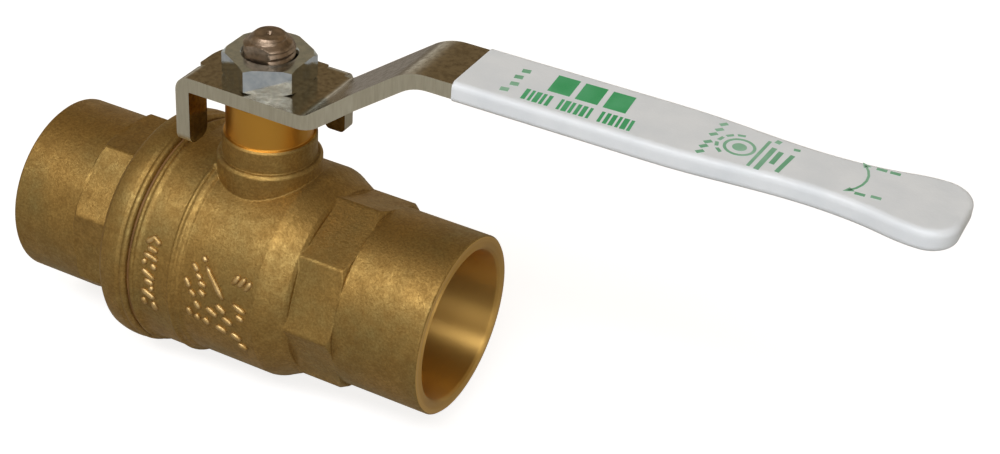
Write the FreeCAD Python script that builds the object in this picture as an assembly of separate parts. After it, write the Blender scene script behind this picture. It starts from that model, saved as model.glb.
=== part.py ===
import FreeCAD, Part
import math
import os

# Two-piece quarter-turn ball valve with solder-cup ends, for 1 inch nominal copper tube.
# Millimetres. The origin is the ball's centre. X is the pipe's axis, towards the outlet cup, and Z is
# the stem's axis, towards the lever. The valve is drawn open, with its lever along +X.

# Waterway and solder cups
PORT_R = 12.5
CUP_R = 14.325
CUP_DEPTH = 23.0
CUP_OUTER_R = 17.05
MOUTH_CHAMFER = 0.4
OUTLET_X = 40.8
INLET_X = -46.4

# Ball, seats and the chamber round them
BALL_R = 17.25
SEAT_GAP = 0.1
SEAT_INNER_R = 12.7
SEAT_OUTER_R = 15.6
SEAT_FRONT_X = 8.6
SEAT_BACK_X = 13.2
SEAT_POCKET_R = 15.7
CHAMBER_R = 18.0
CHAMBER_END_X = 9.2
SLOT_FLOOR_Z = 13.8
SLOT_HALF_WIDTH = 2.6

# Forged body, outside
RIM_X = -16.35
RIM_R = 22.05
BAND_R = 21.3
BAND_END_X = -7.8
BARREL_START_X = -6.4
BARREL_R = 20.44
BARREL_END_X = 9.4
SHOULDER_END_X = 15.0
WRENCH_CORNER_R = 18.3
WRENCH_END_X = 24.0
WRENCH_RIDGE_R = 0.9
WRENCH_ROOT_R = 16.5

# Screwed end adapter
FLANGE_R = 22.7
FLANGE_FACE_X = -16.75
FLANGE_BACK_X = -24.3
ADAPTER_WRENCH_X = -32.3
NOSE_R = 19.1
NOSE_END_X = -9.4
THREAD_R = 19.15
THREAD_END_X = -8.9
JOINT_SEAL_OUTER_R = 21.7

# Neck, stem and packing
NECK_BASE_R = 9.6
NECK_BASE_TOP_Z = 23.2
NECK_COLLAR_R = 8.6
NECK_COLLAR_TOP_Z = 27.7
NECK_R = 7.9
NECK_TOP_Z = 35.3
STEM_R = 5.0
STEM_BORE_R = 5.05
STEM_COLLAR_R = 6.4
STEM_COLLAR_Z = 17.7
STEM_COLLAR_TOP_Z = 19.6
COLLAR_RECESS_R = 6.6
COLLAR_RECESS_TOP_Z = 20.8
BLADE_BOTTOM_Z = 14.0
BLADE_HALF_THICKNESS = 2.5
BLADE_HALF_WIDTH = 5.5
O_RING_Z = 23.0
O_RING_SECTION_R = 0.52
O_RING_GROOVE_R = 3.9
PACKING_BOTTOM_Z = 25.0
PACKING_CHAMBER_R = 6.6
PACKING_RING_HEIGHT = 1.6
FOLLOWER_HEIGHT = 2.0
THREAD_MAJOR_R = 4.6
STEM_FLAT_Y = 3.8
STEM_CONE_Z = 45.2
STEM_TOP_Z = 47.0
STEM_TOP_R = 2.6
STEM_CENTRE_HOLE_R = 0.7

# Lever, pressed from one strip
SHEET = 2.8
PLATE_TOP_Z = 38.64
PLATE_HALF_WIDTH = 9.0
PLATE_LEFT_X = -12.6
CLOSED_TAB_X = -13.8
CLOSED_TAB_END_Y = -3.6
CLOSED_TAB_BOTTOM_Z = 24.9
CLOSED_TAB_BEND_R = 3.0
OPEN_TAB_X = (6.8, 10.9)
OPEN_TAB_Y = 10.5
OPEN_TAB_BOTTOM_Z = 26.4
OPEN_TAB_BEND_R = 2.9
LEVER_HALF_WIDTH = 6.9
CRANK_BOTTOM_X = 12.6
CRANK_TOP_X = 31.4
LEVER_TOP_Z = 52.5
LEVER_TIP_X = 121.9
LEVER_TIP_Z = 53.3
LEVER_TIP_R = 4.5
GRIP_START_X = 39.6
GRIP_SKIN = 0.5
GRIP_EDGE_R = 1.2

# Nut on top of the lever
NUT_ACROSS_FLATS = 14.5
NUT_HEIGHT = 4.7

# Stop behind the neck. The closed tab meets its post and the open tab meets the ledge at its top
LUG_CLOSED_X = -3.5
LUG_POST_X = 0.5
LUG_OPEN_X = 6.7
LUG_BACK_Y = 13.2
LEDGE_BOTTOM_Z = 27.9
LUG_TOP_Z = 31.0

X_AXIS = FreeCAD.Vector(1, 0, 0)
Y_AXIS = FreeCAD.Vector(0, 1, 0)
Z_AXIS = FreeCAD.Vector(0, 0, 1)
ORIGIN = FreeCAD.Vector(0, 0, 0)


def along_x(x, r):
    return FreeCAD.Vector(x, 0, r)


def along_z(r, z):
    return FreeCAD.Vector(r, 0, z)


def in_plan(x, y):
    return FreeCAD.Vector(x, y, 0)


def across_y(y, z):
    return FreeCAD.Vector(0, y, z)


def outline(start, steps, place):
    """A closed face. A step is a point to draw a line to, or (via, end) to draw an arc."""
    edges = []
    here = place(*start)
    for step in steps + [start]:
        if isinstance(step[0], tuple):
            end = place(*step[1])
            edges.append(Part.Arc(here, place(*step[0]), end).toShape())
        else:
            end = place(*step)
            if here.distanceToPoint(end) > 1e-6:
                edges.append(Part.LineSegment(here, end).toShape())
        here = end
    return Part.Face(Part.Wire(edges))


def turned(start, steps, place=along_x, axis=X_AXIS):
    """A solid of revolution from half of its section."""
    return outline(start, steps, place).revolve(ORIGIN, axis, 360)


def ring(inner_r, outer_r, low, high, place=along_x, axis=X_AXIS):
    """A washer about X, or about Z with the other place and axis."""
    if place is along_x:
        corners = [(low, outer_r), (high, outer_r), (high, inner_r)]
        return turned((low, inner_r), corners, place, axis)
    corners = [(outer_r, low), (outer_r, high), (inner_r, high)]
    return turned((inner_r, low), corners, place, axis)


def ring_z(inner_r, outer_r, low, high):
    return ring(inner_r, outer_r, low, high, along_z, Z_AXIS)


def rod_x(radius, low, high):
    return Part.makeCylinder(radius, high - low, FreeCAD.Vector(low, 0, 0), X_AXIS)


def rod_z(radius, low, high):
    return Part.makeCylinder(radius, high - low, FreeCAD.Vector(0, 0, low), Z_AXIS)


def block(x, y, z):
    """A box from three (low, high) pairs."""
    corner = FreeCAD.Vector(x[0], y[0], z[0])
    return Part.makeBox(x[1] - x[0], y[1] - y[0], z[1] - z[0], corner)


def joined(first, *others):
    return first.fuse(list(others)).removeSplitter()


def rounded(points, radii):
    """Steps for outline() through the points, with an arc of the given radius at each inner corner."""
    steps = []
    for before, corner, after, radius in zip(points, points[1:], points[2:], radii):
        corner = FreeCAD.Vector(*corner, 0)
        way_in = (corner - FreeCAD.Vector(*before, 0)).normalize()
        way_out = (FreeCAD.Vector(*after, 0) - corner).normalize()
        half_turn = way_in.getAngle(way_out) / 2
        reach = radius * math.tan(half_turn)
        inwards = (way_out - way_in).normalize()
        middle = corner + inwards * (radius / math.cos(half_turn) - radius)
        arc_start = corner - way_in * reach
        arc_end = corner + way_out * reach
        steps.append((arc_start.x, arc_start.y))
        steps.append(((middle.x, middle.y), (arc_end.x, arc_end.y)))
    return steps + [points[-1]]


def sheet_section(path, radii, thickness, place):
    """A bent sheet seen edge on. The path is one face of the sheet, which lies to the path's right."""
    other_side = []
    other_radii = []
    for index, point in enumerate(path):
        ways = []
        for a, b in zip(path[max(index - 1, 0):], path[max(index - 1, 0) + 1:index + 2]):
            ways.append(FreeCAD.Vector(b[0] - a[0], b[1] - a[1], 0).normalize())
        rights = [FreeCAD.Vector(way.y, -way.x, 0) for way in (ways[0], ways[-1])]
        shift = (rights[0] + rights[1]) * (thickness / (1 + rights[0].dot(rights[1])))
        other_side.append((point[0] + shift.x, point[1] + shift.y))
        if 0 < index < len(path) - 1:
            turns_left = ways[0].cross(ways[1]).z > 0
            change = thickness if turns_left else -thickness
            other_radii.append(max(radii[index - 1] + change, 0.2))
    there = rounded(path, radii)
    back = rounded(other_side[::-1], other_radii[::-1])
    return outline(path[0], there + [other_side[-1]] + back, place)


def octagon(corner_r, low, high, first_corner_deg):
    """An eight-sided prism about X. Angles run from -Y towards +Z."""
    corners = []
    for index in range(9):
        angle = math.radians(first_corner_deg + 45 * index)
        corners.append(FreeCAD.Vector(low, -corner_r * math.cos(angle), corner_r * math.sin(angle)))
    prism = Part.Face(Part.makePolygon(corners)).extrude(X_AXIS * (high - low))
    ridges = [edge for edge in prism.Edges if abs(edge.Length - (high - low)) < 1e-6]
    prism = prism.makeFillet(WRENCH_RIDGE_R, ridges)
    ease = 0.8
    eased = [(low, corner_r - ease), (low + ease, corner_r + 0.1), (high - ease, corner_r + 0.1),
             (high, corner_r - ease), (high, 0)]
    return prism.common(turned((low, 0), eased))


def solder_cup(mouth_x, stop_x):
    """The space inside a cup, with a small lead-in at its mouth."""
    way = math.copysign(1, mouth_x)
    steps = [(stop_x, CUP_R), (mouth_x - way * MOUTH_CHAMFER, CUP_R), (mouth_x, CUP_R + MOUTH_CHAMFER),
             (mouth_x + way, CUP_R + MOUTH_CHAMFER), (mouth_x + way, 0)]
    return turned((stop_x, 0), steps)


def stop_lug():
    """Post beside the neck, with a ledge at its top that reaches round to the open tab."""
    post = block((LUG_CLOSED_X, LUG_POST_X), (4.0, LUG_BACK_Y), (0, LUG_TOP_Z))
    outer_edges = [edge for edge in post.Edges if edge.BoundBox.YMin > LUG_BACK_Y - 0.01
                   and edge.BoundBox.ZMax > LUG_TOP_Z - 0.01]
    post = post.makeFillet(0.6, outer_edges)
    ledge_steps = [(0, 12.0), (LUG_OPEN_X, 9.5), (LUG_OPEN_X, 7.4), (5.0, 6.2)]
    ledge = outline((0, 4.0), ledge_steps, in_plan).extrude(Z_AXIS * (LUG_TOP_Z - LEDGE_BOTTOM_Z))
    ledge.translate(Z_AXIS * LEDGE_BOTTOM_Z)
    return joined(post, ledge)


def body_shell():
    """Turned outside of the body, from the joint's rim to the outlet cup's mouth."""
    steps = [
        (RIM_X, RIM_R - 0.35),
        ((RIM_X + 0.5, RIM_R), (RIM_X + 1.0, RIM_R - 0.4)),
        ((-15.0, 21.42), (-14.4, BAND_R)),
        (BAND_END_X - 0.5, BAND_R),
        ((BAND_END_X - 0.1, BAND_R + 0.18), (BAND_END_X + 0.3, BAND_R - 0.1)),
        ((BAND_END_X + 0.6, BAND_R - 0.35), (BAND_END_X + 0.85, BAND_R - 0.38)),
        ((BARREL_START_X - 0.1, BARREL_R + 0.4), (BARREL_START_X + 0.4, BARREL_R)),
        (BARREL_END_X, BARREL_R),
        ((10.4, 20.2), (11.4, 19.72)),
        (14.4, 18.2),
        (SHOULDER_END_X, 17.6),
        (SHOULDER_END_X, WRENCH_ROOT_R),
        (WRENCH_END_X - 0.5, WRENCH_ROOT_R),
        (WRENCH_END_X, CUP_OUTER_R),
        (OUTLET_X - 0.3, CUP_OUTER_R),
        (OUTLET_X, CUP_OUTER_R - 0.3),
        (OUTLET_X, 0),
    ]
    return turned((RIM_X, 0), steps)


def neck():
    """Stepped neck round the stem, machined above its collar."""
    steps = [
        (NECK_BASE_R, 0),
        (NECK_BASE_R, NECK_BASE_TOP_Z - 0.5),
        (NECK_BASE_R - 0.5, NECK_BASE_TOP_Z),
        (NECK_COLLAR_R, NECK_BASE_TOP_Z),
        (NECK_COLLAR_R, NECK_COLLAR_TOP_Z - 0.4),
        (NECK_COLLAR_R - 0.4, NECK_COLLAR_TOP_Z),
        (NECK_R, NECK_COLLAR_TOP_Z),
        (NECK_R, NECK_TOP_Z - 0.4),
        (NECK_R - 0.4, NECK_TOP_Z),
        (0, NECK_TOP_Z),
    ]
    return turned((0, 0), steps, along_z, Z_AXIS)


def body_casting():
    """Outside of the forged body, still solid."""
    wrench_flats = octagon(WRENCH_CORNER_R, BARREL_END_X, WRENCH_END_X, 0)
    return joined(body_shell(), neck(), wrench_flats, stop_lug())


def body():
    """Forged body with its chamber, outlet port and cup, and the stepped hole for the stem."""
    stop_x = OUTLET_X - CUP_DEPTH
    spaces = [
        rod_x(THREAD_R, RIM_X - 1, THREAD_END_X),
        rod_x(CHAMBER_R, RIM_X - 1, CHAMBER_END_X),
        rod_x(SEAT_POCKET_R, 0, SEAT_BACK_X),
        rod_x(PORT_R, 0, OUTLET_X),
        solder_cup(OUTLET_X, stop_x),
        rod_z(COLLAR_RECESS_R, 0, COLLAR_RECESS_TOP_Z),
        rod_z(STEM_BORE_R, 0, NECK_TOP_Z),
        rod_z(PACKING_CHAMBER_R, PACKING_BOTTOM_Z, NECK_TOP_Z + 1),
    ]
    return body_casting().cut(spaces).removeSplitter()


def end_adapter():
    """Screwed-in end: nose, rounded flange, wrench flats and inlet cup."""
    steps = [
        (INLET_X, CUP_OUTER_R - 0.3),
        (INLET_X + 0.3, CUP_OUTER_R),
        (ADAPTER_WRENCH_X, CUP_OUTER_R),
        (ADAPTER_WRENCH_X + 0.5, WRENCH_ROOT_R),
        (FLANGE_BACK_X, WRENCH_ROOT_R),
        (FLANGE_BACK_X, 18.2),
        ((-23.4, 21.0), (-22.2, 22.3)),
        ((-20.3, 22.68), (-18.7, FLANGE_R)),
        ((-18.35, 22.5), (-18.0, 22.4)),
        ((-17.45, 22.62), (FLANGE_FACE_X, 21.9)),
        (FLANGE_FACE_X, NOSE_R),
        (NOSE_END_X - 0.4, NOSE_R),
        (NOSE_END_X, NOSE_R - 0.4),
        (NOSE_END_X, 0),
    ]
    shell = turned((INLET_X, 0), steps)
    wrench_flats = octagon(WRENCH_CORNER_R, ADAPTER_WRENCH_X, FLANGE_BACK_X + 1.0, 22.5)
    spaces = [
        solder_cup(INLET_X, INLET_X + CUP_DEPTH),
        rod_x(PORT_R, INLET_X, NOSE_END_X + 1),
        rod_x(SEAT_POCKET_R, -SEAT_BACK_X, NOSE_END_X + 1),
    ]
    return joined(shell, wrench_flats).cut(spaces).removeSplitter()


def joint_seal():
    """Flat ring squeezed between the adapter's flange and the body's rim."""
    return ring(NOSE_R + 0.05, JOINT_SEAL_OUTER_R, FLANGE_FACE_X, RIM_X)


def ball():
    """Bored ball. The slot for the stem's blade runs across the bore, over the top."""
    sphere = Part.makeSphere(BALL_R)
    bore = rod_x(PORT_R, -BALL_R, BALL_R)
    slot = block((-SLOT_HALF_WIDTH, SLOT_HALF_WIDTH), (-BALL_R, BALL_R), (SLOT_FLOOR_Z, BALL_R + 1))
    return sphere.cut([bore, slot])


def seat(side):
    """Seat ring with a hollow face that follows the ball."""
    low, high = sorted((side * SEAT_FRONT_X, side * SEAT_BACK_X))
    return ring(SEAT_INNER_R, SEAT_OUTER_R, low, high).cut(Part.makeSphere(BALL_R + SEAT_GAP))


def stem():
    """Blow-out-proof stem: blade, collar, sealed shaft, and a threaded top with two flats."""
    half_groove = O_RING_SECTION_R + 0.13
    shaft_steps = [
        (STEM_COLLAR_R, STEM_COLLAR_Z),
        (STEM_COLLAR_R, STEM_COLLAR_TOP_Z),
        (STEM_R, STEM_COLLAR_TOP_Z),
        (STEM_R, O_RING_Z - half_groove),
        (O_RING_GROOVE_R, O_RING_Z - half_groove),
        (O_RING_GROOVE_R, O_RING_Z + half_groove),
        (STEM_R, O_RING_Z + half_groove),
        (STEM_R, PLATE_TOP_Z - SHEET),
        (0, PLATE_TOP_Z - SHEET),
    ]
    shaft = turned((0, STEM_COLLAR_Z), shaft_steps, along_z, Z_AXIS)
    end_steps = [
        (THREAD_MAJOR_R, PLATE_TOP_Z - SHEET - 1),
        (THREAD_MAJOR_R, STEM_CONE_Z),
        (STEM_TOP_R, STEM_TOP_Z),
        (STEM_CENTRE_HOLE_R, STEM_TOP_Z),
        (0, STEM_TOP_Z - STEM_CENTRE_HOLE_R),
    ]
    end = turned((0, PLATE_TOP_Z - SHEET - 1), end_steps, along_z, Z_AXIS)
    flats = block((-9, 9), (-STEM_FLAT_Y, STEM_FLAT_Y), (PLATE_TOP_Z - SHEET - 1, STEM_TOP_Z + 1))
    blade = rod_z(BLADE_HALF_WIDTH, BLADE_BOTTOM_Z, STEM_COLLAR_Z + 0.5)
    blade_sides = block((-BLADE_HALF_THICKNESS, BLADE_HALF_THICKNESS), (-9, 9), (0, STEM_COLLAR_TOP_Z))
    return joined(shaft, end.common(flats), blade.common(blade_sides))


def stem_o_ring():
    centre_r = O_RING_GROOVE_R + 0.05 + O_RING_SECTION_R
    return Part.makeTorus(centre_r, O_RING_SECTION_R, FreeCAD.Vector(0, 0, O_RING_Z), Z_AXIS)


def thrust_washer():
    """Bearing ring between the stem's collar and the body."""
    return ring_z(STEM_R + 0.08, COLLAR_RECESS_R - 0.1, STEM_COLLAR_TOP_Z + 0.05, COLLAR_RECESS_TOP_Z)


def packing_ring(index):
    low = PACKING_BOTTOM_Z + index * PACKING_RING_HEIGHT
    return ring_z(STEM_R + 0.05, PACKING_CHAMBER_R - 0.02, low, low + PACKING_RING_HEIGHT)


def gland_follower():
    low = PACKING_BOTTOM_Z + 3 * PACKING_RING_HEIGHT
    return ring_z(STEM_R + 0.1, PACKING_CHAMBER_R - 0.05, low, low + FOLLOWER_HEIGHT)


def packing_nut():
    """Threaded ring that loads the packing, with two spanner slots across its top."""
    low = PACKING_BOTTOM_Z + 3 * PACKING_RING_HEIGHT + FOLLOWER_HEIGHT
    nut = ring_z(STEM_R + 0.1, PACKING_CHAMBER_R - 0.02, low, NECK_TOP_Z)
    return nut.cut(block((-0.8, 0.8), (-9, 9), (NECK_TOP_Z - 1.2, NECK_TOP_Z + 1)))


def lever_path(top_offset):
    """Top face of the lever from the plate to its tip, raised by the given skin."""
    slope = math.atan2(LEVER_TOP_Z - PLATE_TOP_Z, CRANK_TOP_X - CRANK_BOTTOM_X)
    shift = top_offset * math.tan(slope / 2)
    return [
        (PLATE_LEFT_X, PLATE_TOP_Z + top_offset),
        (CRANK_BOTTOM_X - shift, PLATE_TOP_Z + top_offset),
        (CRANK_TOP_X - shift, LEVER_TOP_Z + top_offset),
        (LEVER_TIP_X + top_offset, LEVER_TIP_Z + top_offset),
    ]


def bent_strip(skin):
    """The lever's strip over its whole length and width, thicker by a skin on both faces."""
    radii = [3.0, 10.8]
    section = sheet_section(lever_path(skin), radii, SHEET + 2 * skin, along_x)
    section.translate(Y_AXIS * -20)
    return section.extrude(Y_AXIS * 40)


def handle_side(skin, side):
    """One edge of the lever's outer part in plan: straight, then a waist, then a flared end."""
    waist = [(66, 6.9), (80, 6.7), (90, 5.8), (101, 5.4), (110, 6.5), (LEVER_TIP_X - LEVER_TIP_R, 7.7)]
    points = [in_plan(x, side * (half_width + skin)) for x, half_width in waist]
    curve = Part.BSplineCurve()
    curve.interpolate(points, InitialTangent=X_AXIS, FinalTangent=X_AXIS)
    return curve.toShape()


def handle_outline(skin, start_x):
    """Plan of the lever's outer part from start_x to the tip."""
    tip_x = LEVER_TIP_X + skin
    corner_r = LEVER_TIP_R + skin
    edges = []
    corners = {}
    for side in (-1, 1):
        edge = handle_side(skin, side)
        first, last = sorted((vertex.Point for vertex in edge.Vertexes), key=lambda point: point.x)
        tip = in_plan(tip_x, last.y - side * corner_r)
        reach = corner_r * math.sqrt(0.5)
        middle = in_plan(tip_x - corner_r + reach, tip.y + side * reach)
        start = in_plan(start_x, first.y)
        edges += [Part.LineSegment(start, first).toShape(), edge, Part.Arc(last, middle, tip).toShape()]
        corners[side] = (start, tip)
    edges.append(Part.LineSegment(corners[-1][1], corners[1][1]).toShape())
    edges.append(Part.LineSegment(corners[1][0], corners[-1][0]).toShape())
    return Part.Face(Part.Wire(Part.sortEdges(edges)[0]))


def plate_outline():
    """Plan of the lever's inner part, with notches where the two tabs bend down."""
    tab_low, tab_high = OPEN_TAB_X
    back = PLATE_HALF_WIDTH
    steps = [
        (11.5, -back),
        ((15.6, -8.3), (21.0, -LEVER_HALF_WIDTH)),
        (30.0, -LEVER_HALF_WIDTH),
        (30.0, LEVER_HALF_WIDTH),
        (tab_high + 0.5, LEVER_HALF_WIDTH),
        ((tab_high + 0.15, LEVER_HALF_WIDTH + 0.15), (tab_high, LEVER_HALF_WIDTH + 0.5)),
        (tab_high, OPEN_TAB_Y - OPEN_TAB_BEND_R),
        (tab_low, OPEN_TAB_Y - OPEN_TAB_BEND_R),
        (tab_low, back - 0.5),
        ((tab_low - 0.15, back - 0.15), (tab_low - 0.5, back)),
        (-5.0, back),
        ((-10.2, 6.2), (PLATE_LEFT_X, 0.5)),
        (PLATE_LEFT_X, CLOSED_TAB_END_Y + 0.6),
        (PLATE_LEFT_X + 0.6, CLOSED_TAB_END_Y),
        (CLOSED_TAB_X + CLOSED_TAB_BEND_R, CLOSED_TAB_END_Y),
        (CLOSED_TAB_X + CLOSED_TAB_BEND_R, -back),
    ]
    return outline((0, -back), steps, in_plan)


def closed_tab():
    """Tab on the plate's left edge, which meets the lug when the valve is closed."""
    path = [(CLOSED_TAB_X, CLOSED_TAB_BOTTOM_Z), (CLOSED_TAB_X, PLATE_TOP_Z), (-9, PLATE_TOP_Z)]
    section = sheet_section(path, [CLOSED_TAB_BEND_R], SHEET, along_x)
    section.translate(Y_AXIS * -PLATE_HALF_WIDTH)
    tab = section.extrude(Y_AXIS * (CLOSED_TAB_END_Y + PLATE_HALF_WIDTH))
    return rounded_tab_end(tab, CLOSED_TAB_BOTTOM_Z, 2.0)


def open_tab():
    """Tab on the plate's back edge, which meets the lug when the valve is open."""
    path = [(OPEN_TAB_Y - 6, PLATE_TOP_Z), (OPEN_TAB_Y, PLATE_TOP_Z), (OPEN_TAB_Y, OPEN_TAB_BOTTOM_Z)]
    section = sheet_section(path, [OPEN_TAB_BEND_R], SHEET, across_y)
    section.translate(X_AXIS * OPEN_TAB_X[0])
    tab = section.extrude(X_AXIS * (OPEN_TAB_X[1] - OPEN_TAB_X[0]))
    return rounded_tab_end(tab, OPEN_TAB_BOTTOM_Z, 1.0)


def rounded_tab_end(tab, bottom_z, radius):
    """Rounds the tab's two bottom corners, across the sheet."""
    corners = []
    for edge in tab.Edges:
        at_bottom = all(abs(vertex.Z - bottom_z) < 1e-6 for vertex in edge.Vertexes)
        if at_bottom and abs(edge.Length - SHEET) < 1e-6:
            corners.append(edge)
    return tab.makeFillet(radius, corners)


def lever():
    """Pressed lever: plate, two stop tabs, crank and the strip inside the grip."""
    tall = Z_AXIS * 80
    plan = plate_outline().extrude(tall).fuse(handle_outline(0, 29.0).extrude(tall))
    strip = joined(bent_strip(0).common(plan), closed_tab(), open_tab())
    hole = rod_z(THREAD_MAJOR_R + 0.05, PLATE_TOP_Z - 9, PLATE_TOP_Z + 9)
    flats = block((-9, 9), (-STEM_FLAT_Y - 0.05, STEM_FLAT_Y + 0.05), (0, 60))
    return strip.cut(hole.common(flats))


def lever_grip():
    """Soft sleeve over the lever's outer part, closed at the tip."""
    plan = handle_outline(GRIP_SKIN, GRIP_START_X).extrude(Z_AXIS * 80)
    sleeve = bent_strip(GRIP_SKIN).common(plan)
    long_edges = []
    for edge in sleeve.Edges:
        box = edge.BoundBox
        at_start = box.XMax < GRIP_START_X + 0.01
        if not at_start and box.ZLength < 1.5:
            long_edges.append(edge)
    sleeve = sleeve.makeFillet(GRIP_EDGE_R, long_edges)
    return sleeve.cut(bent_strip(0).common(handle_outline(0, 30).extrude(Z_AXIS * 80)))


def handle_nut():
    """Hexagon nut with both faces chamfered."""
    across_corners = NUT_ACROSS_FLATS / math.cos(math.radians(30))
    top = PLATE_TOP_Z + NUT_HEIGHT
    corners = []
    for index in range(7):
        angle = math.radians(30 + 60 * index)
        x = across_corners / 2 * math.cos(angle)
        corners.append(FreeCAD.Vector(x, across_corners / 2 * math.sin(angle), PLATE_TOP_Z))
    prism = Part.Face(Part.makePolygon(corners)).extrude(Z_AXIS * NUT_HEIGHT)
    face_r = NUT_ACROSS_FLATS / 2 + 0.45
    full_r = across_corners / 2 + 0.05
    drop = (full_r - face_r) * math.tan(math.radians(30))
    chamfers = turned((0, PLATE_TOP_Z), [(face_r, PLATE_TOP_Z), (full_r, PLATE_TOP_Z + drop),
                                         (full_r, top - drop), (face_r, top), (0, top)],
                      along_z, Z_AXIS)
    lead_in = 0.5
    bore_r = THREAD_MAJOR_R + 0.02
    bore = turned((0, PLATE_TOP_Z - 1), [(bore_r, PLATE_TOP_Z - 1), (bore_r, top - lead_in),
                                         (bore_r + lead_in + 1, top + 1), (0, top + 1)],
                  along_z, Z_AXIS)
    return prism.common(chamfers).cut(bore)


PARTS = {
    "body": body(),
    "end_adapter": end_adapter(),
    "joint_seal": joint_seal(),
    "ball": ball(),
    "seat_inlet": seat(-1),
    "seat_outlet": seat(1),
    "stem": stem(),
    "stem_o_ring": stem_o_ring(),
    "thrust_washer": thrust_washer(),
    "packing_ring_lower": packing_ring(0),
    "packing_ring_middle": packing_ring(1),
    "packing_ring_upper": packing_ring(2),
    "gland_follower": gland_follower(),
    "packing_nut": packing_nut(),
    "lever": lever(),
    "lever_grip": lever_grip(),
    "handle_nut": handle_nut(),
}

os.makedirs("parts", exist_ok=True)
for name, shape in PARTS.items():
    print(name, "valid" if shape.isValid() else "INVALID", len(shape.Solids), round(shape.Volume, 1))
    shape.exportStep(f"parts/{name}.step")
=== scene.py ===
import math

import bmesh
import bpy
from mathutils import Matrix, Vector


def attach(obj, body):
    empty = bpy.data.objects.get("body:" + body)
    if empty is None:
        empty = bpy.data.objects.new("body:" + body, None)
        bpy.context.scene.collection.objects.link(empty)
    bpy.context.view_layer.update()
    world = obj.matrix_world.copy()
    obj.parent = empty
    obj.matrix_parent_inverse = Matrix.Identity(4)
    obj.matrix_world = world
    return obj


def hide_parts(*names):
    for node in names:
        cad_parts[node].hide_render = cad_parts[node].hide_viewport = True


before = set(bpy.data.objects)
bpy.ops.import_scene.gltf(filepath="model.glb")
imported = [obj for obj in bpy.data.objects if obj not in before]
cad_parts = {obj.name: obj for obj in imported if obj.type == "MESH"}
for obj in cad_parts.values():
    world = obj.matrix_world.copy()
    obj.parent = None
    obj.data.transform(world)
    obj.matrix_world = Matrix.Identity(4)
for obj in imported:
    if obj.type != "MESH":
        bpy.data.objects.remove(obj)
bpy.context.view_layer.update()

# Looks of a quarter-turn ball valve. Metres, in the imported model's frame: X along the pipe, Z up the stem.
MM = 0.001

BAND_R = 21.3 * MM
BARREL_R = 20.44 * MM

# The turned parts of the two castings: inside this radius, past these end faces, and above this height
TURNED_BORE_R = 15.9 * MM
OUTLET_FACE_X = 40.75 * MM
INLET_FACE_X = -46.35 * MM
TURNED_NECK_Z = 27.6 * MM
TURNED_NECK_R = 8.7 * MM
TOOL_RING_GAP = 0.3 * MM

# The stem, in mm: its flats, and the start and end of its thread and of its cone
STEM_FLAT_Y = 3.8
THREAD_BOTTOM_Z = 35.84
THREAD_TOP_Z = 46.45
THREAD_R = 4.6
CONE_BOTTOM_Z = 45.2
CONE_SLOPE = 1.11
THREAD_ROW_GAP = 0.11
STEM_SIDES = 120
STEM_THREAD_PITCH = 1.25 * MM
STEM_THREAD_DEPTH = 0.3 * MM

# The grip's top face, in mm: its height where it starts, and how far it rises along its length
GRIP_START_X = 31.4
GRIP_START_Z = 53.0
GRIP_LENGTH = 90.5
GRIP_RISE = 0.8
INK_THICKNESS = 0.03 * MM

MARK_HEIGHT = 0.5
FLOOR_Z = -22.75 * MM


def linear(hex_colour):
    """An sRGB hex colour as the linear RGBA that shader sockets take."""
    channels = [int(hex_colour[i:i + 2], 16) / 255 for i in (1, 3, 5)]
    return [c / 12.92 if c <= 0.04045 else ((c + 0.055) / 1.055) ** 2.4 for c in channels] + [1.0]


def add(tree, kind, values=None, **settings):
    """Adds a node, with its settings, and its sockets linked or set."""
    node = tree.nodes.new(kind)
    for name, value in settings.items():
        setattr(node, name, value)
    for socket, value in (values or {}).items():
        if isinstance(value, bpy.types.NodeSocket):
            tree.links.new(value, node.inputs[socket])
        else:
            node.inputs[socket].default_value = value
    return node


def new_material(name):
    """An empty material, and its node tree."""
    material = bpy.data.materials.new(name)
    material.use_nodes = True
    material.node_tree.nodes.clear()
    return material, material.node_tree


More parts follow.
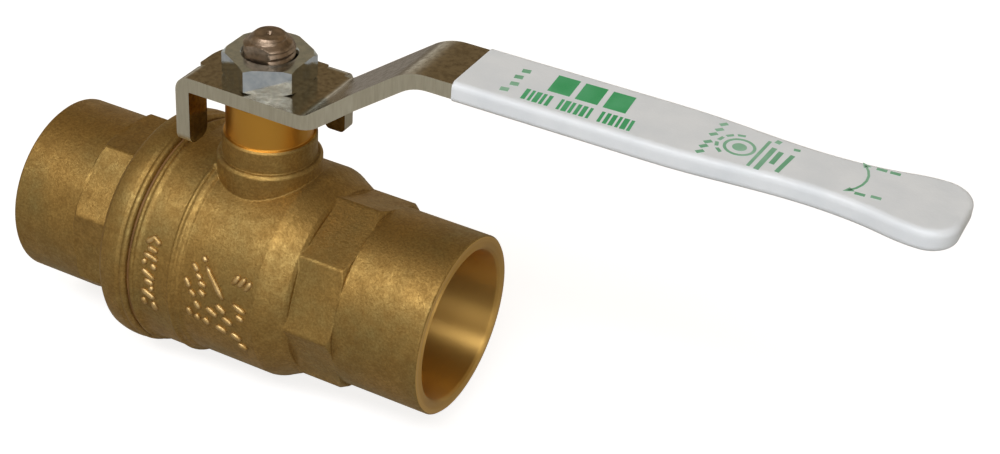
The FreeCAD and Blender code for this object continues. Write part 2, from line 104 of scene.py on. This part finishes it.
def forged_brass():
    """Hot-forged brass, tumbled: satin and golden brown, with a fine even grain and faint stains.

    The bores, the mouths' faces and the top of the neck are turned: brighter, smoother, with fine rings."""
    material, tree = new_material("forged_brass_tumbled")
    coordinates = add(tree, "ShaderNodeTexCoord")
    place = coordinates.outputs["Object"]
    axes = add(tree, "ShaderNodeSeparateXYZ", {0: place})
    from_pipe = add(tree, "ShaderNodeVectorMath", {0: place, 1: (0, 1, 1)}, operation="MULTIPLY")
    pipe_r = add(tree, "ShaderNodeVectorMath", {0: from_pipe.outputs[0]}, operation="LENGTH")
    from_stem = add(tree, "ShaderNodeVectorMath", {0: place, 1: (1, 1, 0)}, operation="MULTIPLY")
    stem_r = add(tree, "ShaderNodeVectorMath", {0: from_stem.outputs[0]}, operation="LENGTH")

    bore = add(tree, "ShaderNodeMath", {0: pipe_r.outputs["Value"], 1: TURNED_BORE_R},
               operation="LESS_THAN")
    outlet = add(tree, "ShaderNodeMath", {0: axes.outputs["X"], 1: OUTLET_FACE_X},
                 operation="GREATER_THAN")
    inlet = add(tree, "ShaderNodeMath", {0: axes.outputs["X"], 1: INLET_FACE_X},
                operation="LESS_THAN")
    ends = add(tree, "ShaderNodeMath", {0: outlet.outputs[0], 1: inlet.outputs[0]}, operation="MAXIMUM")
    high = add(tree, "ShaderNodeMath", {0: axes.outputs["Z"], 1: TURNED_NECK_Z},
               operation="GREATER_THAN")
    slim = add(tree, "ShaderNodeMath", {0: stem_r.outputs["Value"], 1: TURNED_NECK_R},
               operation="LESS_THAN")
    neck = add(tree, "ShaderNodeMath", {0: high.outputs[0], 1: slim.outputs[0]}, operation="MULTIPLY")
    round_pipe = add(tree, "ShaderNodeMath", {0: bore.outputs[0], 1: ends.outputs[0]}, operation="MAXIMUM")
    turned = add(tree, "ShaderNodeMath", {0: round_pipe.outputs[0], 1: neck.outputs[0]}, operation="MAXIMUM")

    # Grit of the tumbling is finer than it can show: its grain is drawn about 0.45 mm wide
    grain = add(tree, "ShaderNodeTexNoise", {"Vector": place, "Scale": 1 / (0.45 * MM), "Detail": 3.0,
                                            "Roughness": 0.65})
    blotch = add(tree, "ShaderNodeTexNoise", {"Vector": place, "Scale": 1 / (2.2 * MM), "Detail": 4.0,
                                             "Roughness": 0.7})
    stain = add(tree, "ShaderNodeTexNoise", {"Vector": place, "Scale": 1 / (11 * MM), "Detail": 3.0})
    stain_part = add(tree, "ShaderNodeMapRange", {0: stain.outputs["Fac"], 1: 0.38, 2: 0.66})
    blotch_part = add(tree, "ShaderNodeMapRange", {0: blotch.outputs["Fac"], 1: 0.3, 2: 0.7, 3: 0.0, 4: 0.75})
    grain_part = add(tree, "ShaderNodeMapRange", {0: grain.outputs["Fac"], 1: 0.34, 2: 0.66, 3: 0.0, 4: 0.55})
    gold_or_brown = add(tree, "ShaderNodeMix", {0: stain_part.outputs[0], 6: linear("#C4A05C"),
                                                7: linear("#B09A60")}, data_type="RGBA")
    blotched = add(tree, "ShaderNodeMix", {0: blotch_part.outputs[0], 6: gold_or_brown.outputs[2],
                                           7: linear("#9A7840")}, data_type="RGBA")
    forged = add(tree, "ShaderNodeMix", {0: grain_part.outputs[0], 6: blotched.outputs[2],
                                         7: linear("#7A5E30")}, data_type="RGBA")
    cut = add(tree, "ShaderNodeMix", {0: neck.outputs[0], 6: linear("#E2B868"), 7: linear("#D8A044")},
              data_type="RGBA")
    colour = add(tree, "ShaderNodeMix", {0: turned.outputs[0], 6: forged.outputs[2], 7: cut.outputs[2]},
                 data_type="RGBA")

    # Tool rings of the turned faces, 0.3 mm apart, run round the pipe or the stem
    along_pipe = add(tree, "ShaderNodeMath", {0: axes.outputs["X"], 1: pipe_r.outputs["Value"]})
    ring_place = add(tree, "ShaderNodeMix", {0: neck.outputs[0], 2: along_pipe.outputs[0],
                                             3: axes.outputs["Z"]})
    rings = add(tree, "ShaderNodeTexNoise", {"W": ring_place.outputs[0], "Scale": 1 / TOOL_RING_GAP,
                                             "Detail": 2.0}, noise_dimensions="1D")
    relief = add(tree, "ShaderNodeMix", {0: turned.outputs[0], 2: grain.outputs["Fac"],
                                         3: rings.outputs["Fac"]})
    dull = add(tree, "ShaderNodeMapRange", {0: blotch.outputs["Fac"], 1: 0.3, 2: 0.7, 3: 0.46, 4: 0.60})
    pipe_rough = add(tree, "ShaderNodeMapRange", {0: bore.outputs[0], 3: 0.4, 4: 0.5})
    turned_rough = add(tree, "ShaderNodeMix", {0: neck.outputs[0], 2: pipe_rough.outputs[0], 3: 0.34})
    roughness = add(tree, "ShaderNodeMix", {0: turned.outputs[0], 2: dull.outputs[0],
                                            3: turned_rough.outputs[0]})
    strength = add(tree, "ShaderNodeMapRange", {0: turned.outputs[0], 3: 0.55, 4: 0.12})
    soft_edge = add(tree, "ShaderNodeBevel", {"Radius": 0.45 * MM}, samples=6)
    bump = add(tree, "ShaderNodeBump", {"Strength": strength.outputs[0], "Distance": 0.12 * MM,
                                        "Height": relief.outputs[0], "Normal": soft_edge.outputs[0]})
    # Highlights stretch across the tool rings: along the pipe in its bores, radially on its end faces
    outwards = add(tree, "ShaderNodeVectorMath", {0: from_pipe.outputs[0], "Scale": 30.0}, operation="SCALE")
    across_rings = add(tree, "ShaderNodeVectorMath", {0: outwards.outputs[0], 1: (1, 0, 0)}, operation="ADD")
    stretch = add(tree, "ShaderNodeMath", {0: bore.outputs[0], 1: 0.93}, operation="MULTIPLY")
    shader = add(tree, "ShaderNodeBsdfPrincipled", {"Base Color": colour.outputs[2], "Metallic": 1.0,
                                                    "Roughness": roughness.outputs[0],
                                                    "Anisotropic": stretch.outputs[0],
                                                    "Tangent": across_rings.outputs[0],
                                                    "Normal": bump.outputs[0]})
    add(tree, "ShaderNodeOutputMaterial", {0: shader.outputs[0]})
    return material


def turned_metal(name, light, dark, rough, ring_gap, ring_strength):
    """Bar metal off the lathe: faint rings across the stem's axis, with a cloudy tarnish."""
    material, tree = new_material(name)
    coordinates = add(tree, "ShaderNodeTexCoord")
    place = coordinates.outputs["Object"]
    axes = add(tree, "ShaderNodeSeparateXYZ", {0: place})
    cloud = add(tree, "ShaderNodeTexNoise", {"Vector": place, "Scale": 1 / (1.6 * MM), "Detail": 4.0,
                                            "Roughness": 0.6})
    cloud_part = add(tree, "ShaderNodeMapRange", {0: cloud.outputs["Fac"], 1: 0.35, 2: 0.65})
    colour = add(tree, "ShaderNodeMix", {0: cloud_part.outputs[0], 6: linear(light), 7: linear(dark)},
                 data_type="RGBA")
    rings = add(tree, "ShaderNodeTexNoise", {"W": axes.outputs["Z"], "Scale": 1 / ring_gap, "Detail": 2.0},
                noise_dimensions="1D")
    roughness = add(tree, "ShaderNodeMapRange", {0: cloud.outputs["Fac"], 1: 0.3, 2: 0.7, 3: rough,
                                                 4: rough + 0.14})
    bump = add(tree, "ShaderNodeBump", {"Strength": ring_strength, "Distance": 0.05 * MM,
                                        "Height": rings.outputs["Fac"]})
    shader = add(tree, "ShaderNodeBsdfPrincipled", {"Base Color": colour.outputs[2], "Metallic": 1.0,
                                                    "Roughness": roughness.outputs[0],
                                                    "Normal": bump.outputs[0]})
    add(tree, "ShaderNodeOutputMaterial", {0: shader.outputs[0]})
    return material


def nickel_plated_steel():
    """Pressed steel strip, nickel plated: its faces are near mirrors, slightly wavy.

    Its sheared edges are grey and dull, with the punch's fine upright tears."""
    material, tree = new_material("nickel_plated_steel")
    coordinates = add(tree, "ShaderNodeTexCoord")
    place = coordinates.outputs["Object"]
    axes = add(tree, "ShaderNodeSeparateXYZ", {0: place})
    facing = add(tree, "ShaderNodeSeparateXYZ", {0: coordinates.outputs["Normal"]})
    sideways = add(tree, "ShaderNodeMath", {0: facing.outputs["Y"]}, operation="ABSOLUTE")
    lengthways = add(tree, "ShaderNodeMath", {0: facing.outputs["X"]}, operation="ABSOLUTE")
    far = add(tree, "ShaderNodeMath", {0: axes.outputs["Y"], 1: 7.5 * MM}, operation="GREATER_THAN")
    low = add(tree, "ShaderNodeMath", {0: axes.outputs["Z"], 1: 38.0 * MM}, operation="LESS_THAN")
    open_tab = add(tree, "ShaderNodeMath", {0: far.outputs[0], 1: low.outputs[0]}, operation="MULTIPLY")
    across_edge = add(tree, "ShaderNodeMix", {0: open_tab.outputs[0], 2: sideways.outputs[0],
                                              3: lengthways.outputs[0]})
    edge = add(tree, "ShaderNodeMapRange", {0: across_edge.outputs[0], 1: 0.55, 2: 0.75})

    # Tears are drawn 0.35 mm apart along the edge and run across the sheet
    tear_scale = (1 / (0.35 * MM), 1 / (0.35 * MM), 1 / (4 * MM))
    tear_place = add(tree, "ShaderNodeVectorMath", {0: place, 1: tear_scale}, operation="MULTIPLY")
    tears = add(tree, "ShaderNodeTexNoise", {"Vector": tear_place.outputs[0], "Scale": 1.0, "Detail": 2.0})
    wave = add(tree, "ShaderNodeTexNoise", {"Vector": place, "Scale": 1 / (7 * MM), "Detail": 1.0})
    specks = add(tree, "ShaderNodeTexNoise", {"Vector": place, "Scale": 1 / (0.9 * MM), "Detail": 4.0})
    speck_part = add(tree, "ShaderNodeMapRange", {0: specks.outputs["Fac"], 1: 0.4, 2: 0.7})
    face = add(tree, "ShaderNodeMix", {0: speck_part.outputs[0], 6: linear("#B4A994"), 7: linear("#8E8068")},
               data_type="RGBA")
    tear_part = add(tree, "ShaderNodeMapRange", {0: tears.outputs["Fac"], 1: 0.3, 2: 0.7})
    sheared = add(tree, "ShaderNodeMix", {0: tear_part.outputs[0], 6: linear("#CCC8B4"),
                                          7: linear("#C0BBA6")}, data_type="RGBA")
    colour = add(tree, "ShaderNodeMix", {0: edge.outputs[0], 6: face.outputs[2], 7: sheared.outputs[2]},
                 data_type="RGBA")
    face_rough = add(tree, "ShaderNodeMapRange", {0: specks.outputs["Fac"], 1: 0.3, 2: 0.7, 3: 0.13, 4: 0.24})
    roughness = add(tree, "ShaderNodeMix", {0: edge.outputs[0], 2: face_rough.outputs[0], 3: 0.5})
    height = add(tree, "ShaderNodeMix", {0: edge.outputs[0], 2: wave.outputs["Fac"], 3: tears.outputs["Fac"]})
    distance = add(tree, "ShaderNodeMapRange", {0: edge.outputs[0], 3: 0.35 * MM, 4: 0.012 * MM})
    bump = add(tree, "ShaderNodeBump", {"Strength": 0.5, "Distance": distance.outputs[0],
                                        "Height": height.outputs[0]})
    shader = add(tree, "ShaderNodeBsdfPrincipled", {"Base Color": colour.outputs[2], "Metallic": 1.0,
                                                    "Roughness": roughness.outputs[0],
                                                    "Normal": bump.outputs[0]})
    add(tree, "ShaderNodeOutputMaterial", {0: shader.outputs[0]})
    return material


def smooth_plastic(name, light, dark, rough, ior, pit, pit_strength):
    """Moulded or dipped plastic: even colour, a soft sheen and a fine orange-peel surface."""
    material, tree = new_material(name)
    place = add(tree, "ShaderNodeTexCoord").outputs["Object"]
    smear = add(tree, "ShaderNodeTexNoise", {"Vector": place, "Scale": 1 / (6 * MM), "Detail": 4.0})
    smear_part = add(tree, "ShaderNodeMapRange", {0: smear.outputs["Fac"], 1: 0.35, 2: 0.7})
    colour = add(tree, "ShaderNodeMix", {0: smear_part.outputs[0], 6: linear(light), 7: linear(dark)},
                 data_type="RGBA")
    peel = add(tree, "ShaderNodeTexNoise", {"Vector": place, "Scale": 1 / pit, "Detail": 2.0})
    roughness = add(tree, "ShaderNodeMapRange", {0: smear.outputs["Fac"], 1: 0.3, 2: 0.7, 3: rough,
                                                 4: rough + 0.1})
    bump = add(tree, "ShaderNodeBump", {"Strength": pit_strength, "Distance": 0.1 * MM,
                                        "Height": peel.outputs["Fac"]})
    shader = add(tree, "ShaderNodeBsdfPrincipled", {"Base Color": colour.outputs[2], "IOR": ior,
                                                    "Roughness": roughness.outputs[0],
                                                    "Normal": bump.outputs[0]})
    add(tree, "ShaderNodeOutputMaterial", {0: shader.outputs[0]})
    return material


def new_piece(name, mesh, body, material):
    """Puts a finished mesh in the scene as a piece that rides on a body."""
    mesh.normal_update()
    data = bpy.data.meshes.new(name)
    mesh.to_mesh(data)
    mesh.free()
    data.materials.append(material)
    piece = bpy.data.objects.new(name, data)
    bpy.context.collection.objects.link(piece)
    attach(piece, body)
    return piece


def stem_levels():
    """(height, radius, half length in X, half length in Y) from the blade's end to the stem's top, in mm.

    A half length of full is past the radius, so it cuts no flat."""
    full = 9.0
    flat = STEM_FLAT_Y
    levels = [(14.0, 5.2, 2.5, full), (14.3, 5.5, 2.5, full), (17.7, 5.5, 2.5, full),
              (17.7, 6.2, full, full), (17.9, 6.4, full, full), (19.4, 6.4, full, full),
              (19.6, 6.2, full, full), (19.6, 5.0, full, full), (22.35, 5.0, full, full),
              (22.35, 3.9, full, full), (23.65, 3.9, full, full),
              (23.65, 5.0, full, full), (THREAD_BOTTOM_Z, 5.0, full, full)]
    height = THREAD_BOTTOM_Z
    while height < THREAD_TOP_Z:
        levels.append((height, min(THREAD_R, THREAD_R - (height - CONE_BOTTOM_Z) * CONE_SLOPE), full, flat))
        height += THREAD_ROW_GAP
    levels += [(46.6, 3.04, full, flat), (46.9, 2.71, full, flat), (47.0, 2.5, full, full),
               (47.0, 0.7, full, full), (46.3, 0.1, full, full)]
    return levels


def threaded_stem(material):
    """The stem with a real helical thread on the round sides above its shoulder."""
    mesh = bmesh.new()
    rows = []
    for height, radius, half_x, half_y in stem_levels():
        row = []
        threaded = THREAD_BOTTOM_Z < height < THREAD_TOP_Z
        for index in range(STEM_SIDES):
            angle = 2 * math.pi * index / STEM_SIDES
            turn = height * MM / STEM_THREAD_PITCH - index / STEM_SIDES
            groove = abs(turn % 1 - 0.5) * 2 * STEM_THREAD_DEPTH if threaded else 0
            r = radius * MM - groove
            x = max(-half_x * MM, min(half_x * MM, r * math.cos(angle)))
            y = max(-half_y * MM, min(half_y * MM, r * math.sin(angle)))
            row.append(mesh.verts.new((x, y, height * MM)))
        rows.append(row)
    for below, above in zip(rows, rows[1:]):
        for index in range(STEM_SIDES):
            after = (index + 1) % STEM_SIDES
            mesh.faces.new((below[index], below[after], above[after], above[index]))
    mesh.faces.new(rows[0][::-1])
    mesh.faces.new(rows[-1])
    bmesh.ops.recalc_face_normals(mesh, faces=mesh.faces)
    piece = new_piece("stem_threaded", mesh, "handle", material)
    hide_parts("stem")
    return piece


def raised_stroke(mesh, points, radius, width, height):
    """A rounded ridge along points of (x in mm, angle in degrees from -Y towards +Z) on a cylinder."""
    path = []
    for (x0, a0), (x1, a1) in zip(points, points[1:]):
        for step in range(6):
            part = step / 6
            path.append(Vector((x0 + (x1 - x0) * part, math.radians(a0 + (a1 - a0) * part))))
    path.append(Vector((points[-1][0], math.radians(points[-1][1]))))
    section = [(-0.5, -0.35), (-0.42, 0.45), (-0.22, 0.9), (0.0, 1.0),
               (0.22, 0.9), (0.42, 0.45), (0.5, -0.35)]
    arc_scale = radius / MM
    rings = []
    for index, here in enumerate(path):
        before = path[max(index - 1, 0)]
        after = path[min(index + 1, len(path) - 1)]
        way = Vector(((after - before).x, (after - before).y * arc_scale)).normalized()
        end = min(index, len(path) - 1 - index)
        taper = (0.55, 0.9, 1.0)[min(end, 2)]
        ring = []
        for across, up in section:
            x = here.x - way.y * across * width * taper
            angle = here.y + way.x * across * width * taper / arc_scale
            r = radius + up * height * (taper if up > 0 else 1) * MM
            ring.append(mesh.verts.new((x * MM, -r * math.cos(angle), r * math.sin(angle))))
        rings.append(ring)
    for first, second in zip(rings, rings[1:]):
        for index in range(len(section)):
            after = (index + 1) % len(section)
            mesh.faces.new((first[index], first[after], second[after], second[index]))
    mesh.faces.new(rings[0])
    mesh.faces.new(rings[-1][::-1])


def cast_marks(material):
    """Raised forging marks: plain strokes and pips, with no letters in them."""
    band = [
        [(-13.7, 25.2), (-12.2, 28.4), (-10.7, 26.0)], [(-13.2, 23.2), (-11.0, 22.0)],
        [(-13.8, 19.6), (-10.7, 17.8)], [(-13.8, 16.4), (-13.0, 14.6)], [(-12.0, 15.4), (-10.8, 13.2)],
        [(-13.8, 11.2), (-11.0, 7.4)], [(-13.2, 6.0), (-11.2, 4.8)], [(-12.0, 2.6), (-11.2, 1.2)],
        [(-13.8, 0.0), (-11.0, -3.6)], [(-11.6, -6.0), (-10.8, -10.6)], [(-13.8, -5.4), (-13.0, -8.8)],
    ]
    barrel = [
        [(-2.2, 28.0), (-1.3, 25.6)], [(-1.2, 24.0), (3.3, 9.4)],
        [(-4.0, 23.0), (-2.6, 19.6)], [(-2.9, 18.0), (-1.6, 16.2)], [(-2.2, 14.4), (-0.6, 12.8)],
        [(-5.0, 14.2), (-3.9, 9.6)], [(-4.0, 8.2), (-2.6, 5.4)], [(-2.0, 10.2), (-0.6, 7.6)],
        [(-2.8, 3.0), (-1.6, -1.0)], [(-0.2, 1.6), (2.0, -1.8)], [(1.8, 5.4), (3.8, 1.8)],
        [(3.2, -0.8), (5.2, -3.6)], [(-4.4, -3.0), (-3.5, -7.0)], [(-2.7, -5.4), (-1.9, -8.4)],
        [(-1.0, -6.0), (0.2, -8.8)], [(1.6, -8.0), (3.8, -10.4)], [(4.8, -9.4), (6.8, -12.2)],
        [(5.8, 25.0), (4.7, 19.6)], [(7.1, 24.8), (6.0, 19.4)], [(8.3, 23.8), (7.3, 18.4)],
        [(5.2, 9.0), (8.0, 6.2)], [(6.0, 3.4), (7.6, 1.4)], [(6.0, -15.6), (7.8, -18.4)],
    ]
    mesh = bmesh.new()
    for points in band:
        raised_stroke(mesh, points, BAND_R, 1.3, MARK_HEIGHT)
    for points in barrel:
        raised_stroke(mesh, points, BARREL_R, 1.2, MARK_HEIGHT)
    bmesh.ops.recalc_face_normals(mesh, faces=mesh.faces)
    piece = new_piece("body_marks", mesh, "housing", material)
    for face in piece.data.polygons:
        face.use_smooth = True
    return piece


def grip_height(x):
    """Height of the grip's top face, in mm."""
    return GRIP_START_Z + (x - GRIP_START_X) * GRIP_RISE / GRIP_LENGTH


def ink_shape(mesh, outline):
    """A thin flat shape on the grip's top, from its corners in mm."""
    low = [mesh.verts.new((x * MM, y * MM, grip_height(x) * MM - INK_THICKNESS)) for x, y in outline]
    high = [mesh.verts.new((x * MM, y * MM, grip_height(x) * MM + INK_THICKNESS)) for x, y in outline]
    mesh.faces.new(high)
    mesh.faces.new(low[::-1])
    for index in range(len(outline)):
        after = (index + 1) % len(outline)
        mesh.faces.new((low[index], low[after], high[after], high[index]))


def ink_line(mesh, start, end, width):
    """A straight printed line."""
    way = (Vector(end) - Vector(start)).normalized() * width / 2
    side = Vector((-way.y, way.x))
    corners = [Vector(start) - side, Vector(end) - side, Vector(end) + side, Vector(start) + side]
    ink_shape(mesh, [tuple(corner) for corner in corners])


def ink_ring(mesh, centre, inner, outer, first_deg=0, last_deg=360):
    """A printed ring, or part of one, drawn as short pieces that meet."""
    steps = max(int((last_deg - first_deg) / 12), 1)
    for index in range(steps):
        a = math.radians(first_deg + (last_deg - first_deg) * index / steps)
        b = math.radians(first_deg + (last_deg - first_deg) * (index + 1) / steps)
        corners = [(outer, a), (outer, b), (inner, b), (inner, a)]
        ink_shape(mesh, [(centre[0] + r * math.cos(t), centre[1] + r * math.sin(t)) for r, t in corners])


def grip_print(bold, pale):
    """Green print on the grip: blocks, bars, a ring badge and a turning arrow, with no lettering."""
    mesh = bmesh.new()
    for left in (53.6, 58.5, 63.4):
        ink_shape(mesh, [(left, -1.1), (left + 3.9, -1.0), (left + 3.4, 4.6), (left - 0.5, 4.5)])
    bar_x = 51.2
    for index in range(20):
        width = (0.75, 0.5, 0.9, 0.55, 0.65)[index % 5]
        if index % 7 != 5:
            ink_line(mesh, (bar_x + 0.2, -5.7), (bar_x - 0.2, -2.3), width)
        bar_x += 1.02
    bold_faces = len(mesh.faces)
    for x, y in ((48.0, 2.6), (47.8, 0.2), (48.2, -2.2), (47.6, -4.6)):
        ink_line(mesh, (x - 0.7, y), (x + 0.7, y + 0.3), 1.2)
    for x, y in ((81.9, 4.5), (81.9, 2.6), (81.6, 0.8), (81.7, -1.8), (81.6, -3.4), (81.7, -5.2)):
        ink_line(mesh, (x - 0.45, y - 0.5), (x + 0.45, y + 0.5), 0.8)
    badge = (86.5, -0.7)
    ink_ring(mesh, badge, 2.1, 2.6)
    ink_ring(mesh, badge, 0.0, 1.15)
    for first in range(95, 245, 30):
        ink_ring(mesh, badge, 3.3, 3.9, first, first + 20)
    for start, end, width in (((89.5, -5.2), (90.0, 3.6), 0.55), ((90.9, -5.4), (91.3, 2.0), 0.85),
                              ((92.4, -2.7), (92.6, 1.4), 0.85), ((93.9, -4.5), (94.5, 1.4), 0.75),
                              ((91.1, 3.5), (91.3, 4.5), 0.9), ((94.0, 3.2), (95.0, 3.4), 0.7)):
        ink_line(mesh, start, end, width)
    ink_ring(mesh, (100.2, 0.7), 6.15, 6.55, -42, 40)
    ink_shape(mesh, [(104.4, 5.5), (106.0, 4.9), (105.0, 4.0)])
    ink_shape(mesh, [(104.3, -4.1), (105.9, -3.3), (104.9, -2.6)])
    for x, y in ((107.6, 4.9), (109.7, 5.0), (106.8, -3.7), (109.2, -3.3)):
        ink_line(mesh, (x - 0.8, y), (x + 0.8, y + 0.1), 0.75)
    bmesh.ops.recalc_face_normals(mesh, faces=mesh.faces)
    piece = new_piece("grip_print", mesh, "handle", bold)
    # The fine marks are printed thin, so the white shows through them
    piece.data.materials.append(pale)
    for face in piece.data.polygons[bold_faces:]:
        face.material_index = 1
    return piece


def area_light(name, place, target, size, power, colour):
    """A rectangular soft light at a place, turned towards a target."""
    lamp = bpy.data.lights.new(name, "AREA")
    lamp.shape = "RECTANGLE"
    lamp.size, lamp.size_y = size
    lamp.energy = power
    lamp.color = linear(colour)[:3]
    holder = bpy.data.objects.new(name, lamp)
    bpy.context.collection.objects.link(holder)
    holder.location = place
    holder.rotation_euler = (Vector(target) - Vector(place)).to_track_quat("-Z", "Y").to_euler()


def studio():
    """Plain pale floor, soft lights and an even surround that shows white behind the object."""
    floor_mesh = bmesh.new()
    bmesh.ops.create_grid(floor_mesh, x_segments=1, y_segments=1, size=4.0)
    bmesh.ops.translate(floor_mesh, verts=floor_mesh.verts, vec=(0, 0, FLOOR_Z))
    data = bpy.data.meshes.new("floor")
    floor_mesh.to_mesh(data)
    floor_mesh.free()
    floor = bpy.data.objects.new("floor", data)
    bpy.context.collection.objects.link(floor)
    material, tree = new_material("white_paper")
    # The paper is lit from behind where the camera sees it, and is plain grey paper to everything else
    rays = add(tree, "ShaderNodeLightPath")
    paper = add(tree, "ShaderNodeBsdfDiffuse", {"Color": linear("#B9B8B6")})
    lit = add(tree, "ShaderNodeEmission", {"Color": linear("#FFFFFF"), "Strength": 0.8})
    bright = add(tree, "ShaderNodeAddShader", {0: paper.outputs[0], 1: lit.outputs[0]})
    shader = add(tree, "ShaderNodeMixShader", {0: rays.outputs["Is Camera Ray"], 1: paper.outputs[0],
                                               2: bright.outputs[0]})
    add(tree, "ShaderNodeOutputMaterial", {0: shader.outputs[0]})
    data.materials.append(material)

    world = bpy.data.worlds.new("studio")
    bpy.context.scene.world = world
    world.use_nodes = True
    tree = world.node_tree
    tree.nodes.clear()
    rays = add(tree, "ShaderNodeLightPath")
    way = add(tree, "ShaderNodeTexCoord")
    axes = add(tree, "ShaderNodeSeparateXYZ", {0: way.outputs["Generated"]})
    height = add(tree, "ShaderNodeMapRange", {0: axes.outputs["Z"], 1: 0.02, 2: 0.34})
    room = add(tree, "ShaderNodeMix", {0: height.outputs[0], 6: linear("#DEDCD4"), 7: linear("#8A7A60")},
               data_type="RGBA")
    surround = add(tree, "ShaderNodeBackground", {"Color": room.outputs[2], "Strength": 1.0})
    behind = add(tree, "ShaderNodeBackground", {"Color": linear("#FFFFFF"), "Strength": 1.0})
    seen = add(tree, "ShaderNodeMixShader", {0: rays.outputs["Is Camera Ray"], 1: surround.outputs[0],
                                             2: behind.outputs[0]})
    add(tree, "ShaderNodeOutputWorld", {0: seen.outputs[0]})
    middle = (0.03, 0.0, 0.01)
    area_light("softbox", (0.1, -0.62, 0.86), middle, (1.3, 0.3), 8.5, "#F4F7FF")
    area_light("front", (0.45, -0.95, 0.35), middle, (0.5, 0.5), 1.6, "#F4F7FF")


def camera():
    """Camera above and in front of the outlet, a little rolled."""
    data = bpy.data.cameras.new("camera")
    data.sensor_width = 36
    data.lens = 64.85
    data.clip_start = 0.01
    holder = bpy.data.objects.new("camera", data)
    bpy.context.collection.objects.link(holder)
    right = Vector((0.88694393, 0.45695154, 0.06727369))
    up = Vector((-0.30509861, 0.47028182, 0.82810014))
    forward = Vector((-0.34676404, 0.75500351, -0.55652889))
    pose = Matrix((right, up, -forward)).transposed().to_4x4()
    pose.translation = (0.15382657, -0.23311314, 0.19541752)
    holder.matrix_world = pose
    bpy.context.scene.camera = holder


brass = forged_brass()
# Crests of the raised marks, partly worn and partly painted highlight: paler and brighter than the casting
# round them
marks_wear_and_highlight_brass = turned_metal("marks_worn_and_painted_highlight", "#DDBF86", "#B08E54", 0.42, 0.5 * MM, 0.1)
# Bar brass off the lathe: clean gold with fine rings
bright_brass = turned_metal("machined_brass_bar", "#C9A04E", "#A87F36", 0.24, 0.3 * MM, 0.2)
# Handled stem brass: greyed by tarnish, with a low shine on the thread's crests
stem_brass = turned_metal("dull_brass_stem", "#B09A84", "#80705E", 0.34, 0.25 * MM, 0.15)
# Bright zinc on the nut: cool grey and near a mirror, so it shows the stem and the plate
zinc = turned_metal("bright_zinc_plated_nut", "#DCE6EC", "#C4D0D9", 0.05, 0.4 * MM, 0.03)
# Polished hard chrome on the ball: a clean mirror
chrome = turned_metal("hard_chrome_ball", "#D2D3D6", "#BDBFC2", 0.06, 0.5 * MM, 0.02)
nickel = nickel_plated_steel()
# Dipped vinyl: slightly cool white with a soft sheen and orange peel
vinyl = smooth_plastic("dipped_vinyl_white", "#E8EDF0", "#DFE5E9", 0.34, 1.53, 0.5 * MM, 0.25)
# Printed ink: flat green, duller than the vinyl; the thin one lets the white through
ink = smooth_plastic("green_print_ink", "#37A263", "#57B27C", 0.4, 1.5, 0.3 * MM, 0.3)
thin_ink = smooth_plastic("thin_green_print_ink", "#6FAE88", "#9CC8AE", 0.4, 1.5, 0.3 * MM, 0.3)
# PTFE: waxy white on the turned rings; the joint's seal is brown, a painted shade for the narrow gap between
# the flange and the rim
ptfe = smooth_plastic("turned_ptfe", "#F1F0EC", "#E6E4DE", 0.38, 1.36, 0.4 * MM, 0.1)
seal_gap_shade_brown = smooth_plastic("seal_brown_painted_gap_shade", "#8A6636", "#6E4E28", 0.6, 1.5, 0.4 * MM, 0.3)
# Fluoroelastomer: near black and matt
rubber = smooth_plastic("moulded_fluoroelastomer", "#2A2119", "#201A15", 0.6, 1.5, 0.3 * MM, 0.2)

FINISHES = {
    "body": brass,
    "end_adapter": brass,
    "gland_follower": bright_brass,
    "packing_nut": bright_brass,
    "stem": stem_brass,
    "ball": chrome,
    "lever": nickel,
    "handle_nut": zinc,
    "lever_grip": vinyl,
    "seat_inlet": ptfe,
    "seat_outlet": ptfe,
    # The joint's seal is painted dark brown as shade in its narrow gap
    "joint_seal": seal_gap_shade_brown,
    "thrust_washer": ptfe,
    "packing_ring_lower": ptfe,
    "packing_ring_middle": ptfe,
    "packing_ring_upper": ptfe,
    "stem_o_ring": rubber,
}
for name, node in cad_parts.items():
    node.data.materials.clear()
    node.data.materials.append(FINISHES[name])

threaded_stem(stem_brass)
# The marks' paler brass is partly wear and partly a painted highlight on their ridges
cast_marks(marks_wear_and_highlight_brass)
grip_print(ink, thin_ink)
studio()
camera()
bpy.context.scene.view_settings.view_transform = "Standard"
